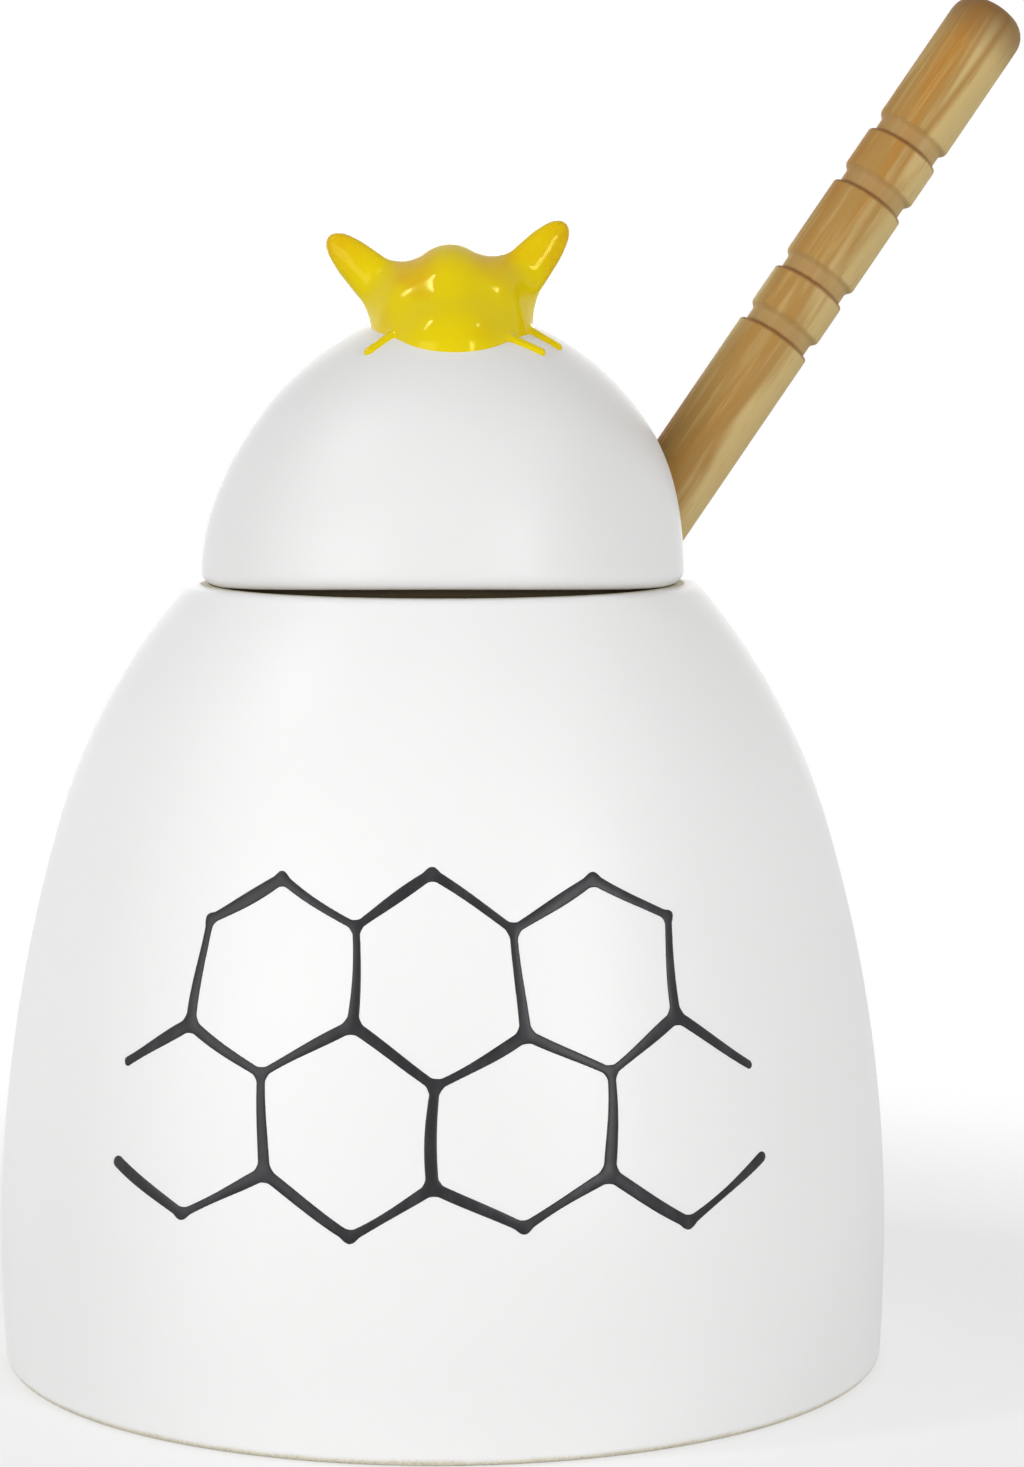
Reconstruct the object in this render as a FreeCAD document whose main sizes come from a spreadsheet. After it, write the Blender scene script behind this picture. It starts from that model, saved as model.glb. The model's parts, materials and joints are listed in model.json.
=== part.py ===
"""Bell-shaped stoneware honey pot with a lift-off domed lid, a bee for a knob, and a wooden dipper.

Frame: +Z up, origin in the middle of the foot, +X to the right and -Y towards the viewer.
Lengths are in millimetres and angles in degrees.
"""
import FreeCAD, Part
import math
import os

import Sketcher

SIZES = {
    # The pot: a thrown bell with a flat rim, open at the top.
    "pot_diameter": 114.0,
    "pot_height": 99.5,
    "belly_height": 14.8,
    "base_inset": 0.4,
    "rim_diameter": 65.1,
    "rim_width": 3.8,
    "mouth_land": 2.0,
    "shoulder_drop_share": 0.332,
    "shoulder_rise_share": 0.652,
    "wall_thickness": 3.4,
    "floor_thickness": 4.6,
    "inside_corner_round": 11.0,
    "foot_ring_width": 6.0,
    "foot_recess": 1.0,
    "foot_edge_round": 1.2,
    "rim_edge_round": 0.8,
    "mouth_edge_round": 0.4,
    # The lid: a pointed dome with a blended crown, a seat and a locating flange.
    "lid_setback": 1.75,
    "lid_side_overreach": 3.65,
    "lid_crown_radius": 19.0,
    "lid_wall": 3.2,
    "lid_edge_round": 1.3,
    "lid_seat_height": 3.0,
    "flange_depth": 4.0,
    "flange_wall": 2.4,
    "flange_gap": 0.8,
    "lid_warp_height": 0.95,
    "lid_warp_span": 54.0,
    "notch_clearance": 2.4,
    # The dipper: a grooved dowel glued into a turned head.
    "dipper_length": 204.5,
    "tip_wall_gap": 4.47,
    "dipper_azimuth": 15.0,
    "dipper_seat_gap": 0.25,
    "handle_diameter": 10.2,
    "handle_end_dome": 0.9,
    "handle_end_round": 1.1,
    "groove_width": 2.7,
    "groove_depth": 0.65,
    "groove_slope": 0.7,
    "upper_band_top": 20.1,
    "lower_band_top": 42.0,
    "band_pitch": 8.2,
    "tenon_diameter": 8.0,
    "tenon_length": 18.0,
    "tenon_clearance": 0.1,
    "head_diameter": 25.0,
    "head_length": 42.0,
    "head_neck_step": 1.2,
    "head_core_diameter": 12.5,
    "head_slot_width": 2.6,
    "head_slot_pitch": 5.4,
    "head_slot_start": 4.6,
    # The bee: a body in three swellings, two raised wings and six legs, all seated on the dome.
    "bee_offset": 1.8,
    "bee_sink": 4.3,
    "bee_roll": 4.3,
    "thorax_width": 20.4,
    "thorax_length": 23.5,
    "thorax_height": 20.2,
    "thorax_lift": 2.0,
    "bee_head_width": 10.8,
    "bee_head_length": 10.0,
    "bee_head_height": 11.0,
    "bee_head_forward": 9.3,
    "bee_head_lift": 1.4,
    "abdomen_width": 14.5,
    "abdomen_length": 19.0,
    "abdomen_height": 15.0,
    "abdomen_back": 8.0,
    "abdomen_lift": 2.0,
    "wing_root_out": 5.2,
    "wing_root_lift": 3.5,
    "wing_length": 14.25,
    "wing_rise": 46.5,
    "wing_sweep": 10.0,
    "wing_width": 8.75,
    "wing_thickness": 5.6,
    "leg_length": 5.6,
    "leg_width": 1.2,
    "leg_height": 0.8,
    # How far every cutting outline runs past the face that it opens.
    "overrun": 2.0,
}

# Slots between the discs of the dipper's head.
HEAD_SLOTS = 6

# Where a wing's cross-sections lie along it, and how wide each is.
WING_PLACE_SHARES = (0.0, 0.35, 0.6, 0.82, 0.93, 0.985, 1.0)
WING_WIDTH_SHARES = (1.0, 0.82, 0.66, 0.47, 0.33, 0.17, 0.07)

# Each leg's azimuth on the dome, and its distance from the axis as a share of the lid's radius.
LEG_AZIMUTHS = (-124.0, -38.0, -13.0, 145.0, 112.0, 52.0)
LEG_REACH_SHARES = (0.45, 0.47, 0.45, 0.44, 0.46, 0.46)

POT_RADIUS = "(sizes.pot_diameter / 2)"
RIM_RADIUS = "(sizes.rim_diameter / 2)"
MOUTH_RADIUS = f"({RIM_RADIUS} - sizes.rim_width)"
INSIDE_RADIUS = f"({POT_RADIUS} - sizes.wall_thickness)"
BASE_RADIUS = f"({POT_RADIUS} - sizes.base_inset)"
LID_RADIUS = f"({RIM_RADIUS} - sizes.lid_setback)"
SIDE_RADIUS = f"({LID_RADIUS} + sizes.lid_side_overreach)"
CROWN_SPAN = f"({SIDE_RADIUS} - sizes.lid_crown_radius)"
CROWN_RISE = f"sqrt({CROWN_SPAN}^2 - sizes.lid_side_overreach^2)"
LID_HEIGHT = f"(sizes.lid_edge_round + {CROWN_RISE} + sizes.lid_crown_radius)"
FLANGE_RADIUS = f"({MOUTH_RADIUS} - sizes.flange_gap)"
FLANGE_BORE = f"({FLANGE_RADIUS} - sizes.flange_wall)"
HANDLE_RADIUS = "(sizes.handle_diameter / 2)"
HEAD_RADIUS = "(sizes.head_diameter / 2)"
NECK_RADIUS = f"({HANDLE_RADIUS} + sizes.head_neck_step)"

# The dipper stands with its round tip on the floor, by the wall, and leans on the mouth's edge.
BALL_HEIGHT = f"(sizes.floor_thickness + sizes.dipper_seat_gap + {HEAD_RADIUS})"
BALL_REACH = f"({HEAD_RADIUS} + sizes.tip_wall_gap - {INSIDE_RADIUS})"
EDGE_OUT = f"({MOUTH_RADIUS} - {BALL_REACH})"
EDGE_UP = f"(sizes.pot_height - {BALL_HEIGHT})"
EDGE_TURN = f"asin(({HANDLE_RADIUS} + sizes.dipper_seat_gap) / sqrt({EDGE_OUT}^2 + {EDGE_UP}^2))"
DIPPER_TILT = f"(atan({EDGE_OUT} / {EDGE_UP}) - {EDGE_TURN})"
RIM_CROSSING = f"({BALL_REACH} + tan({DIPPER_TILT}) * {EDGE_UP})"
TIP_REACH = f"({BALL_REACH} - {HEAD_RADIUS} * sin({DIPPER_TILT}))"
TIP_HEIGHT = f"({BALL_HEIGHT} - {HEAD_RADIUS} * cos({DIPPER_TILT}))"
DIPPER_TURN = f"rotation(vector(0; 0; 1); sizes.dipper_azimuth) * rotation(vector(0; 1; 0); {DIPPER_TILT})"

BEE_HEIGHT = f"(sizes.pot_height + {LID_HEIGHT} - sizes.bee_sink)"
BEE_TURN = "rotation(vector(0; 1; 0); -sizes.bee_roll)"
BEE_PLACE = f"placement(vector(sizes.bee_offset; 0; {BEE_HEIGHT}); {BEE_TURN})"
NO_TURN = "rotation(vector(0; 0; 1); 0)"

doc = FreeCAD.newDocument("honey_pot")


def write_sizes():
    """Put every driving dimension in the sheet, under its own name."""
    sheet = doc.addObject("Spreadsheet::Sheet", "sizes")
    for row, (name, value) in enumerate(SIZES.items(), start=1):
        sheet.set(f"A{row}", name)
        sheet.set(f"B{row}", str(value))
        sheet.setAlias(f"B{row}", name)
    doc.recompute()
    return sheet


sizes = write_sizes()


def value_of(expression):
    """The number that an expression of sizes has now."""
    return float(sizes.evalExpression(expression.replace("sizes.", "")))


def along_dipper(reach, height):
    """The place and turn of something that stands on the dipper's axis, at a reach from the pot's axis."""
    across = f"{reach} * cos(sizes.dipper_azimuth)"
    back = f"{reach} * sin(sizes.dipper_azimuth)"
    return f"placement(vector({across}; {back}; {height}); {DIPPER_TURN})"


def new_body(label):
    body = doc.addObject("PartDesign::Body", label)
    body.Label = label
    return body


def new_sketch(body, name, role):
    """A sketch on one of the body's own origin planes."""
    sketch = body.newObject("Sketcher::SketchObject", name)
    plane = [feature for feature in body.Origin.OriginFeatures if feature.Role == role][0]
    sketch.AttachmentSupport = [(plane, "")]
    sketch.MapMode = "FlatFace"
    return sketch


def bind(sketch, kind, items, expression, name):
    """Add a constraint whose value follows an expression of sizes."""
    index = sketch.addConstraint(Sketcher.Constraint(kind, *items, value_of(expression)))
    sketch.renameConstraint(index, name)
    sketch.setExpression(f"Constraints.{name}", expression)


def pin_corner(sketch, side, end, corner, name):
    """Hold one end of a side at its corner: on an axis where the corner is at zero, or at its distance."""
    for kind, axis, expression in (("DistanceX", -2, corner[0]), ("DistanceY", -1, corner[1])):
        if expression == "0":
            sketch.addConstraint(Sketcher.Constraint("PointOnObject", side, end, axis))
        else:
            bind(sketch, kind, (-1, 1, side, end), expression, name + kind[-1].lower())


def arc_between(start, end, radius, centre_left):
    """The short arc from start to end with its centre on the left or the right of the way."""
    way = end - start
    across = FreeCAD.Vector(-way.y, way.x, 0).normalize()
    height = math.sqrt(max(radius**2 - (way.Length / 2) ** 2, 0))
    centre = start + way / 2 + across * (height if centre_left else -height)
    first, last = (start, end) if centre_left else (end, start)
    angles = [math.atan2(point.y - centre.y, point.x - centre.x) for point in (first, last)]
    return Part.ArcOfCircle(Part.Circle(centre, FreeCAD.Vector(0, 0, 1), radius), *angles)


def draw_outline(sketch, corners, arcs=None):
    """Draw a closed outline whose corners, and the radii of its round sides, follow the sizes.

    corners holds pairs of expressions. arcs maps the number of a round side to its radius and to whether
    its centre lies on the left of the way from corner to corner.
    """
    arcs = arcs or {}
    points = [FreeCAD.Vector(value_of(x), value_of(y), 0) for x, y in corners]
    first = sketch.GeometryCount
    ends = []
    for number, start in enumerate(points):
        end = points[(number + 1) % len(points)]
        if number in arcs:
            radius, centre_left = arcs[number]
            sketch.addGeometry(arc_between(start, end, value_of(radius), centre_left), False)
            ends.append((1, 2) if centre_left else (2, 1))
        else:
            sketch.addGeometry(Part.LineSegment(start, end), False)
            ends.append((1, 2))
    for number, corner in enumerate(corners):
        before = (number - 1) % len(corners)
        joint = (first + before, ends[before][1], first + number, ends[number][0])
        sketch.addConstraint(Sketcher.Constraint("Coincident", *joint))
        pin_corner(sketch, first + number, ends[number][0], corner, f"corner{first + number}")
    for number, (radius, _) in arcs.items():
        bind(sketch, "Radius", (first + number,), radius, f"radius{first + number}")


def turn_profile(body, kind, name, corners, arcs=None):
    """Revolve an outline about the body's Z axis, to add or to cut."""
    sketch = new_sketch(body, name + "_profile", "XZ_Plane")
    draw_outline(sketch, corners, arcs)
    feature = body.newObject(f"PartDesign::{kind}", name)
    feature.Profile = sketch
    feature.ReferenceAxis = (sketch, ["V_Axis"])
    feature.Angle = 360
    doc.recompute()
    return feature


def cut_through(body, name, sketch):
    """Cut a drawn outline through the body, to both sides of its sketch."""
    before = body.Shape.Volume
    feature = body.newObject("PartDesign::Pocket", name)
    feature.Profile = sketch
    feature.SideType = "Symmetric"
    feature.setExpression("Length", "2 * sizes.pot_diameter")
    doc.recompute()
    if not body.Shape.Volume < before:
        raise RuntimeError(f"{name} cuts nothing")
    return feature


def round_ring(body, name, radius, height, size):
    """Round the circular edge that lies at a radius and a height on the body."""
    doc.recompute()
    wanted = (value_of(radius), value_of(height))
    rings = []
    for number, edge in enumerate(body.Tip.Shape.Edges, start=1):
        if edge.Degenerated or not isinstance(edge.Curve, Part.Circle):
            continue
        found = (edge.Curve.Radius, edge.Curve.Center.z)
        if math.isclose(math.dist(found, wanted), 0, abs_tol=edge.Tolerance):
            rings.append(f"Edge{number}")
    if not rings:
        raise RuntimeError(f"{name} finds no edge")
    feature = body.newObject("PartDesign::Fillet", name)
    feature.Base = (feature.BaseFeature, rings)
    feature.setExpression("Radius", size)
    doc.recompute()
    return feature


def bell_side(belly, top, height):
    """The shoulder of a bell's side, and the radii of the two arcs that meet there without a corner."""
    drop = f"({belly} - {top})"
    rise = f"({height} - sizes.belly_height)"
    inward = f"(sizes.shoulder_drop_share * {drop})"
    upward = f"(sizes.shoulder_rise_share * {rise})"
    rest_in = f"((1 - sizes.shoulder_drop_share) * {drop})"
    rest_up = f"((1 - sizes.shoulder_rise_share) * {rise})"
    lower = f"(({inward}^2 + {upward}^2) / (2 * {inward}))"
    lean = f"(({lower} - {inward}) * {rest_in} - {upward} * {rest_up})"
    upper = f"(({rest_in}^2 + {rest_up}^2) * {lower} / (2 * {lean}))"
    shoulder = (f"{belly} - {inward}", f"sizes.belly_height + {upward}")
    return shoulder, lower, upper


def make_pot():
    body = new_body("pot_body")
    shoulder, lower, upper = bell_side(POT_RADIUS, RIM_RADIUS, "sizes.pot_height")
    foot_arc = "((sizes.base_inset^2 + sizes.belly_height^2) / (2 * sizes.base_inset))"
    corners = [
        ("0", "0"),
        (BASE_RADIUS, "0"),
        (POT_RADIUS, "sizes.belly_height"),
        shoulder,
        (RIM_RADIUS, "sizes.pot_height"),
        ("0", "sizes.pot_height"),
    ]
    arcs = {1: (foot_arc, True), 2: (lower, True), 3: (upper, True)}
    turn_profile(body, "Revolution", "pot_bell", corners, arcs)

    land = "(sizes.pot_height - sizes.mouth_land)"
    shoulder, lower, upper = bell_side(INSIDE_RADIUS, MOUTH_RADIUS, land)
    above = "sizes.pot_height + sizes.overrun"
    corners = [
        ("0", "sizes.floor_thickness"),
        (INSIDE_RADIUS, "sizes.floor_thickness"),
        (INSIDE_RADIUS, "sizes.belly_height"),
        shoulder,
        (MOUTH_RADIUS, land),
        (MOUTH_RADIUS, above),
        ("0", above),
    ]
    turn_profile(body, "Groove", "pot_inside", corners, {2: (lower, True), 3: (upper, True)})

    ring = f"{BASE_RADIUS} - sizes.foot_ring_width"
    corners = [
        ("0", "-sizes.overrun"),
        (ring, "-sizes.overrun"),
        (ring, "sizes.foot_recess"),
        ("0", "sizes.foot_recess"),
    ]
    turn_profile(body, "Groove", "pot_foot_recess", corners)
    for edge, radius, height in (
        ("inside_corner", INSIDE_RADIUS, "sizes.floor_thickness"),
        ("foot_edge", BASE_RADIUS, "0"),
        ("rim_edge", RIM_RADIUS, "sizes.pot_height"),
        ("mouth_edge", MOUTH_RADIUS, "sizes.pot_height"),
    ):
        round_ring(body, f"pot_{edge}", radius, height, f"sizes.{edge}_round")
    return body


def dome_side(inset):
    """Where a dome's side arc meets its crown arc, and their radii, for a surface set in from the outside."""
    side = f"({SIDE_RADIUS} - {inset})"
    crown = f"(sizes.lid_crown_radius - {inset})"
    junction = (
        f"sizes.lid_side_overreach * {crown} / {CROWN_SPAN}",
        f"sizes.lid_edge_round + {side} * {CROWN_RISE} / {CROWN_SPAN}",
    )
    top = ("0", f"{LID_HEIGHT} - {inset}")
    return junction, top, side, crown


def turn_dome(body, name):
    """The full dome: its flat seat, its rounded edge, its side and its crown."""
    junction, top, side, crown = dome_side("0")
    flat = f"{LID_RADIUS} - sizes.lid_edge_round"
    corners = [("0", "0"), (flat, "0"), (LID_RADIUS, "sizes.lid_edge_round"), junction, top]
    arcs = {1: ("sizes.lid_edge_round", True), 2: (side, True), 3: (crown, True)}
    return turn_profile(body, "Revolution", name, corners, arcs)


def make_dome_form():
    """The lid's outside as a full solid, which shapes the underside of all that is stuck on it."""
    body = new_body("dome_form")
    turn_dome(body, "dome_form_bell")
    body.setExpression("Placement.Base.z", "sizes.pot_height")
    return body


def make_lid():
    body = new_body("lid")
    turn_dome(body, "lid_dome")

    # The seat is warped: it lies on the rim at the left and right, and stands off it at the front and back.
    half = "sizes.lid_warp_span / 2"
    below = "-sizes.overrun"
    warp_radius = "((sizes.lid_warp_span / 2)^2 + sizes.lid_warp_height^2) / (2 * sizes.lid_warp_height)"
    sketch = new_sketch(body, "lid_warp_outline", "XZ_Plane")
    peak = ("0", "sizes.lid_warp_height")
    corners = [(f"-{half}", "0"), (f"-{half}", below), (half, below), (half, "0"), peak]
    draw_outline(sketch, corners, {3: (warp_radius, True), 4: (warp_radius, True)})
    cut_through(body, "lid_warp", sketch)

    corners = [
        ("0", "-sizes.flange_depth"),
        (FLANGE_RADIUS, "-sizes.flange_depth"),
        (FLANGE_RADIUS, "sizes.lid_seat_height"),
        ("0", "sizes.lid_seat_height"),
    ]
    turn_profile(body, "Revolution", "lid_flange", corners)

    junction, top, side, crown = dome_side("sizes.lid_wall")
    ledge = f"sqrt({side}^2 - (sizes.lid_seat_height - sizes.lid_edge_round)^2) - sizes.lid_side_overreach"
    below = "-sizes.flange_depth - sizes.overrun"
    corners = [
        ("0", below),
        (FLANGE_BORE, below),
        (FLANGE_BORE, "sizes.lid_seat_height"),
        (ledge, "sizes.lid_seat_height"),
        junction,
        top,
    ]
    turn_profile(body, "Groove", "lid_inside", corners, {3: (side, True), 4: (crown, True)})

    # A slot with a round top, open downwards, lets the lid lift past the dipper's handle.
    half = f"({HANDLE_RADIUS} + sizes.notch_clearance)"
    outward = f"(2 * {LID_RADIUS})"
    sketch = new_sketch(body, "lid_notch_outline", "XY_Plane")
    sketch.setExpression("AttachmentOffset", along_dipper(RIM_CROSSING, "0"))
    corners = [("0", f"-{half}"), (outward, f"-{half}"), (outward, half), ("0", half), (f"-{half}", "0")]
    draw_outline(sketch, corners, {3: (half, True), 4: (half, True)})
    cut_through(body, "lid_notch", sketch)
    body.setExpression("Placement.Base.z", "sizes.pot_height")
    return body


def cut_shape(label, base, tool):
    cut = doc.addObject("Part::Cut", label)
    cut.Label = label
    cut.Base = base
    cut.Tool = tool
    return cut


def swelling(name, place, width, length, height):
    """An egg-shaped solid with its full width along X, length along Y and height along Z."""
    solid = doc.addObject("Part::Ellipsoid", name)
    solid.setExpression("Radius2", f"{width} / 2")
    solid.setExpression("Radius3", f"{length} / 2")
    solid.setExpression("Radius1", f"{height} / 2")
    solid.setExpression("Placement", place)
    return solid


def make_bee_form():
    """The bee's thorax, head and abdomen as one full solid, before it is seated on the dome."""
    shapes = []
    for name, along in (
        ("thorax", "0"),
        ("bee_head", "-sizes.bee_head_forward"),
        ("abdomen", "sizes.abdomen_back"),
    ):
        place = f"{BEE_PLACE} * placement(vector(0; {along}; sizes.{name}_lift); {NO_TURN})"
        sides = [f"sizes.{name}_{side}" for side in ("width", "length", "height")]
        shapes.append(swelling(f"{name}_swelling", place, *sides))
    form = doc.addObject("Part::MultiFuse", "bee_form")
    form.Shapes = shapes
    return form


def make_wing(label, side, bee_form, dome_form):
    """A thick petal, widest at its root in the thorax, that rises outwards and leans back."""
    root = f"vector({side} * sizes.wing_root_out; 0; sizes.wing_root_lift)"
    sweep = f"rotation(vector(0; 0; 1); {side} * sizes.wing_sweep)"
    rise = f"rotation(vector(0; 1; 0); {side} * (90 - sizes.wing_rise))"
    sections = []
    for number, (place, width) in enumerate(zip(WING_PLACE_SHARES, WING_WIDTH_SHARES)):
        section = doc.addObject("Part::Ellipse", f"{label}_section{number}")
        section.setExpression("MajorRadius", f"{width} * sizes.wing_width / 2")
        section.setExpression("MinorRadius", f"{width} * sizes.wing_thickness / 2")
        out = f"placement(vector(0; 0; {place} * sizes.wing_length); {NO_TURN})"
        section.setExpression("Placement", f"{BEE_PLACE} * placement({root}; {sweep} * {rise}) * {out}")
        sections.append(section)
    petal = doc.addObject("Part::Loft", f"{label}_petal")
    petal.Sections = sections
    petal.Solid = True
    clear_of_body = cut_shape(f"{label}_clear", petal, bee_form)
    return cut_shape(label, clear_of_body, dome_form)


def make_legs(bee_form, dome_form):
    """Six dabs that lie on the dome round the bee, each seated on it and ending at the body."""
    dabs = []
    for number, (azimuth, share) in enumerate(zip(LEG_AZIMUTHS, LEG_REACH_SHARES)):
        reach = f"({share} * {LID_RADIUS})"
        across = f"({reach} + sizes.lid_side_overreach)"
        height = f"sizes.pot_height + sizes.lid_edge_round + sqrt({SIDE_RADIUS}^2 - {across}^2)"
        place = f"vector({reach} * cos({azimuth}); {reach} * sin({azimuth}); {height})"
        slope = f"rotation(vector(0; 1; 0); asin({across} / {SIDE_RADIUS}))"
        dab_place = f"placement({place}; rotation(vector(0; 0; 1); {azimuth}) * {slope})"
        dab_sides = ("sizes.leg_length", "sizes.leg_width", "2 * sizes.leg_height")
        dabs.append(swelling(f"leg_dab{number}", dab_place, *dab_sides))
    group = doc.addObject("Part::Compound", "leg_dabs")
    group.Links = dabs
    seated = cut_shape("legs_seated", group, dome_form)
    return cut_shape("bee_legs", seated, bee_form)


def make_handle():
    """The dowel: a tenon, the long shaft, two bands each marked by a pair of grooves, and a domed end."""
    body = new_body("dipper_handle")
    tenon = "sizes.tenon_diameter / 2"
    shaft_end = "sizes.dipper_length - sizes.handle_end_dome"
    dome_radius = f"(({HANDLE_RADIUS}^2 + sizes.handle_end_dome^2) / (2 * sizes.handle_end_dome))"
    corners = [
        ("0", "sizes.head_length - sizes.tenon_length"),
        (tenon, "sizes.head_length - sizes.tenon_length"),
        (tenon, "sizes.head_length"),
        (HANDLE_RADIUS, "sizes.head_length"),
        (HANDLE_RADIUS, shaft_end),
        ("0", "sizes.dipper_length"),
    ]
    turn_profile(body, "Revolution", "handle_dowel", corners, {4: (dome_radius, True)})
    round_ring(body, "handle_end", HANDLE_RADIUS, shaft_end, "sizes.handle_end_round")

    # Each groove has a square lower shoulder and a sloped upper one.
    sketch = new_sketch(body, "handle_groove_profile", "XZ_Plane")
    floor = f"{HANDLE_RADIUS} - sizes.groove_depth"
    outside = f"{HANDLE_RADIUS} + sizes.overrun"
    for band in ("upper_band_top", "lower_band_top"):
        for step in (0, 1):
            high = f"(sizes.dipper_length - sizes.{band} - {step} * sizes.band_pitch)"
            low = f"({high} - sizes.groove_width)"
            slope = f"{high} - sizes.groove_slope"
            corners = [(floor, low), (outside, low), (outside, high), (HANDLE_RADIUS, high), (floor, slope)]
            draw_outline(sketch, corners)
    grooves = body.newObject("PartDesign::Groove", "handle_grooves")
    grooves.Profile = sketch
    grooves.ReferenceAxis = (sketch, ["V_Axis"])
    grooves.Angle = 360
    body.setExpression("Placement", along_dipper(TIP_REACH, TIP_HEIGHT))
    doc.recompute()
    return body


def make_head():
    """The turned head: a round-nosed skep with slots that hold the honey, and a socket for the tenon."""
    body = new_body("dipper_head")
    inward = f"({HEAD_RADIUS} - {NECK_RADIUS})"
    upward = f"(sizes.head_length - {HEAD_RADIUS})"
    side_radius = f"(({inward}^2 + {upward}^2) / (2 * {inward}))"
    corners = [
        ("0", "0"),
        (HEAD_RADIUS, HEAD_RADIUS),
        (NECK_RADIUS, "sizes.head_length"),
        ("0", "sizes.head_length"),
    ]
    turn_profile(body, "Revolution", "head_skep", corners, {0: (HEAD_RADIUS, True), 1: (side_radius, True)})

    sketch = new_sketch(body, "head_slot_profile", "XZ_Plane")
    core = "sizes.head_core_diameter / 2"
    outside = f"{HEAD_RADIUS} + sizes.overrun"
    for number in range(HEAD_SLOTS):
        low = f"(sizes.head_slot_start + {number} * sizes.head_slot_pitch)"
        high = f"({low} + sizes.head_slot_width)"
        draw_outline(sketch, [(core, low), (outside, low), (outside, high), (core, high)])
    slots = body.newObject("PartDesign::Groove", "head_slots")
    slots.Profile = sketch
    slots.ReferenceAxis = (sketch, ["V_Axis"])
    slots.Angle = 360
    doc.recompute()

    bore = "sizes.tenon_diameter / 2 + sizes.tenon_clearance"
    bottom = "sizes.head_length - sizes.tenon_length - sizes.tenon_clearance"
    top = "sizes.head_length + sizes.overrun"
    turn_profile(body, "Groove", "head_socket", [("0", bottom), (bore, bottom), (bore, top), ("0", top)])
    body.setExpression("Placement", along_dipper(TIP_REACH, TIP_HEIGHT))
    doc.recompute()
    return body


def check_document(parts):
    """Stop if any object failed, or a piece has no sound solid."""
    doc.recompute()
    for item in doc.Objects:
        if "Invalid" in item.State or "Error" in item.State:
            raise RuntimeError(f"{item.Label} failed: {item.State}")
    for part in parts:
        if part.Shape.isNull() or not part.Shape.isValid() or not part.Shape.Solids:
            raise RuntimeError(f"{part.Label} has no sound solid")


def main():
    dome_form = make_dome_form()
    bee_form = make_bee_form()
    parts = [
        make_pot(),
        make_lid(),
        cut_shape("bee_body", bee_form, dome_form),
        make_wing("bee_wing_left", -1, bee_form, dome_form),
        make_wing("bee_wing_right", 1, bee_form, dome_form),
        make_legs(bee_form, dome_form),
        make_handle(),
        make_head(),
    ]
    check_document(parts)
    os.makedirs("parts", exist_ok=True)
    for part in parts:
        part.Shape.exportStep(f"parts/{part.Label}.step")
        print(f"{part.Label}: {len(part.Shape.Solids)} solids, {part.Shape.Volume:.0f} mm3")


main()
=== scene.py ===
"""Honey pot: glazed stoneware with a bee for a knob and a wooden dipper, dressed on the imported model.

Metres, +Z up, the viewer on the -Y side, origin under the middle of the foot.
"""
import json
import math
from functools import reduce

import bmesh
import bpy
import numpy as np
from bpy.props import FloatProperty, FloatVectorProperty, IntProperty, PointerProperty
from mathutils import Matrix, Vector


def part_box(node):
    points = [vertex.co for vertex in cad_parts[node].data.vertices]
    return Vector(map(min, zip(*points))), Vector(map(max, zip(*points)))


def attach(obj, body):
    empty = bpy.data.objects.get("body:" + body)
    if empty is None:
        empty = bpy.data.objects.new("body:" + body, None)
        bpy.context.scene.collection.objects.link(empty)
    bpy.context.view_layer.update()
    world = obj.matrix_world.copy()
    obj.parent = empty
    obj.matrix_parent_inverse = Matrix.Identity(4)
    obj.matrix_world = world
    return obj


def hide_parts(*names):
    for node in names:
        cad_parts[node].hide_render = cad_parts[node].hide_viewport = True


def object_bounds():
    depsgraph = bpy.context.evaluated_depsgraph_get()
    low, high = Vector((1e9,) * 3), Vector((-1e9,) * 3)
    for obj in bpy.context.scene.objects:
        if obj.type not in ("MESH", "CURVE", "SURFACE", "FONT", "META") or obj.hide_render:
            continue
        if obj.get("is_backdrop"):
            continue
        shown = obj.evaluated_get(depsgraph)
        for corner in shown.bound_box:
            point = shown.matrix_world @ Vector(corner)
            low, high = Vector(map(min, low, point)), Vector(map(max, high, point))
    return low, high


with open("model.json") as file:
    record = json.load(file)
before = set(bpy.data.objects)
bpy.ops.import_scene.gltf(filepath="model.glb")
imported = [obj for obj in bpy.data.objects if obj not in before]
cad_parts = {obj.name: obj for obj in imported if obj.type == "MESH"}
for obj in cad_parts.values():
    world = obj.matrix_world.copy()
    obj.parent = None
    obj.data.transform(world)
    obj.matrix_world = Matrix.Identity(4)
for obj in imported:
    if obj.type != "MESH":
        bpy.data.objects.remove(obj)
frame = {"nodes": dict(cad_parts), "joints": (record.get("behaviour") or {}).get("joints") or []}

bl_info = {
    "name": "Honey Pot",
    "version": (1, 0, 0),
    "blender": (4, 5, 0),
    "location": "View3D > Sidebar > Honey Pot",
    "description": "Builds the glazed pot, lid, bee knob and wooden dipper on their packed frame",
    "category": "Object",
}

CAD_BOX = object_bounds()
POT_LOW, POT_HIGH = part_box("pot_body")
LID_LOW, LID_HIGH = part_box("lid")
DIPPER_AXIS = Vector(next(joint["axis"] for joint in frame["joints"] if joint["name"] == "dipper_draw"))
MM = 0.001
TINY = 1e-7


def length(name, description, millimetres):
    """A size that a user can change, given here in millimetres."""
    size = millimetres * MM
    return FloatProperty(name=name, description=description, default=size, unit="LENGTH", precision=5)


def angle(name, description, degrees):
    """An angle that a user can change."""
    return FloatProperty(name=name, description=description, default=math.radians(degrees), subtype="ANGLE")


def share(name, description, default):
    """A plain number from 0 to 1."""
    return FloatProperty(name=name, description=description, default=default, min=0, max=1, subtype="FACTOR")


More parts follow.
